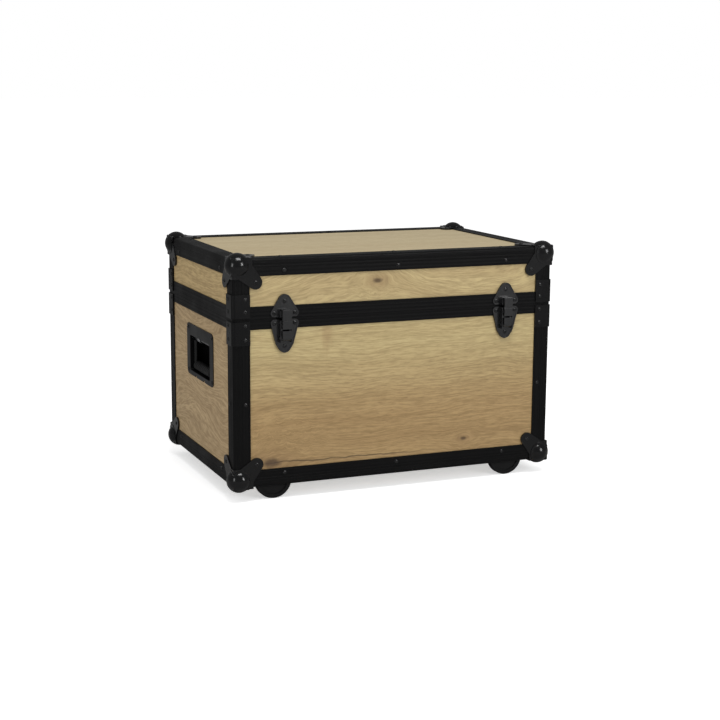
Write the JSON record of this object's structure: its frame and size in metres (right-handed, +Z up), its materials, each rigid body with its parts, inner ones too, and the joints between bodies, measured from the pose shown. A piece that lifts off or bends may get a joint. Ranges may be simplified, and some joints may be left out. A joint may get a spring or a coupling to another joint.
{
  "type": "steamer trunk",
  "caption": "Wheeled hard-sided trunk in light oak boards and black edge profiles, with hinged lid, front latches and drop handles on the ends.",
  "frame": {"origin": "centre of the bounding box's footprint, on the floor that the wheels stand on", "axes": "+X along the front towards its right end, +Y from the front to the hinged back, +Z up"},
  "size_m": [0.6186, 0.4144, 0.4274],
  "materials": {
    "oak_panel": "satin light oak",
    "black_profile": "satin black anodised",
    "black_steel": "semi-gloss black",
    "latch_steel": "semi-gloss black",
    "rivet_black": "satin black",
    "pin_steel": "bright",
    "bail_steel": "semi-gloss black",
    "grip_rubber": "matt",
    "wheel_rubber": "matt"
  },
  "bodies": {
    "base": {"panel_bottom": "oak_panel", "panel_front": "oak_panel", "panel_back": "oak_panel", "panel_left": "oak_panel", "panel_right": "oak_panel", "sill_front": "black_profile", "sill_back": "black_profile", "sill_left": "black_profile", "sill_right": "black_profile", "posts_base": "black_profile", "rim_base": "black_profile", "corners_base": "black_steel", "braces_base": "black_steel", "wheel_wells": "black_steel", "wheel_axles": "pin_steel", "latch_plate_left": "latch_steel", "latch_plate_right": "latch_steel", "latch_pins": "pin_steel", "handle_dish_left": "black_steel", "handle_dish_right": "black_steel", "handle_pin_left": "pin_steel", "handle_pin_right": "pin_steel", "handle_spring_left": "pin_steel", "handle_spring_right": "pin_steel", "hinge_leaves_base": "black_steel", "hinge_pins": "pin_steel", "rivets_base": "rivet_black"},
    "lid": {"lid_panel_top": "oak_panel", "lid_panel_front": "oak_panel", "lid_panel_back": "oak_panel", "lid_panel_left": "oak_panel", "lid_panel_right": "oak_panel", "lid_edge_front": "black_profile", "lid_edge_back": "black_profile", "lid_edge_left": "black_profile", "lid_edge_right": "black_profile", "posts_lid": "black_profile", "rim_lid": "black_profile", "corners_lid": "black_steel", "braces_lid": "black_steel", "latch_catch_left": "latch_steel", "latch_catch_right": "latch_steel", "hinge_leaves_lid": "black_steel", "rivets_lid": "rivet_black"},
    "lever_left": {"latch_lever_left": "latch_steel", "claw_pin_left": "pin_steel"},
    "claw_left": {"latch_claw_left": "latch_steel"},
    "handle_left": {"handle_bail_left": "bail_steel", "handle_grip_left": "grip_rubber"},
    "lever_right": {"latch_lever_right": "latch_steel", "claw_pin_right": "pin_steel"},
    "claw_right": {"latch_claw_right": "latch_steel"},
    "handle_right": {"handle_bail_right": "bail_steel", "handle_grip_right": "grip_rubber"},
    "wheel_front_left": {"wheel_front_left": "wheel_rubber"},
    "wheel_front_right": {"wheel_front_right": "wheel_rubber"},
    "wheel_back_left": {"wheel_back_left": "wheel_rubber"},
    "wheel_back_right": {"wheel_back_right": "wheel_rubber"}
  },
  "joints": [
    {"name": "lid_hinge", "type": "hinge", "parent": "base", "child": "lid", "pos_m": [0, 0.2028, 0.315], "axis": [-1, 0, 0], "range_deg": [0, 100]},
    {"name": "latch_lever_turn_left", "type": "hinge", "parent": "base", "child": "lever_left", "pos_m": [-0.209, -0.2002, 0.282], "axis": [1, 0, 0], "range_deg": [0, 110]},
    {"name": "latch_claw_turn_left", "type": "hinge", "parent": "lever_left", "child": "claw_left", "pos_m": [-0.209, -0.2012, 0.305], "axis": [1, 0, 0], "range_deg": [0, 20], "stiffness_Nm_per_rad": 0.05},
    {"name": "handle_swing_left", "type": "hinge", "parent": "base", "child": "handle_left", "pos_m": [-0.2897, 0.0023, 0.2475], "axis": [0, 1, 0], "range_deg": [0, 90], "stiffness_Nm_per_rad": 0.05},
    {"name": "latch_lever_turn_right", "type": "hinge", "parent": "base", "child": "lever_right", "pos_m": [0.209, -0.2002, 0.282], "axis": [1, 0, 0], "range_deg": [0, 110]},
    {"name": "latch_claw_turn_right", "type": "hinge", "parent": "lever_right", "child": "claw_right", "pos_m": [0.209, -0.2012, 0.305], "axis": [1, 0, 0], "range_deg": [0, 20], "stiffness_Nm_per_rad": 0.05},
    {"name": "handle_swing_right", "type": "hinge", "parent": "base", "child": "handle_right", "pos_m": [0.2897, 0.0023, 0.2475], "axis": [0, -1, 0], "range_deg": [0, 90], "stiffness_Nm_per_rad": 0.05},
    {"name": "wheel_front_left_spin", "type": "hinge", "parent": "base", "child": "wheel_front_left", "pos_m": [-0.2244, -0.1743, 0.0325], "axis": [0, 1, 0], "continuous": true},
    {"name": "wheel_front_right_spin", "type": "hinge", "parent": "base", "child": "wheel_front_right", "pos_m": [0.2244, -0.1743, 0.0325], "axis": [0, 1, 0], "continuous": true},
    {"name": "wheel_back_left_spin", "type": "hinge", "parent": "base", "child": "wheel_back_left", "pos_m": [-0.2244, 0.1789, 0.0325], "axis": [0, 1, 0], "continuous": true},
    {"name": "wheel_back_right_spin", "type": "hinge", "parent": "base", "child": "wheel_back_right", "pos_m": [0.2244, 0.1789, 0.0325], "axis": [0, 1, 0], "continuous": true}
  ]
}
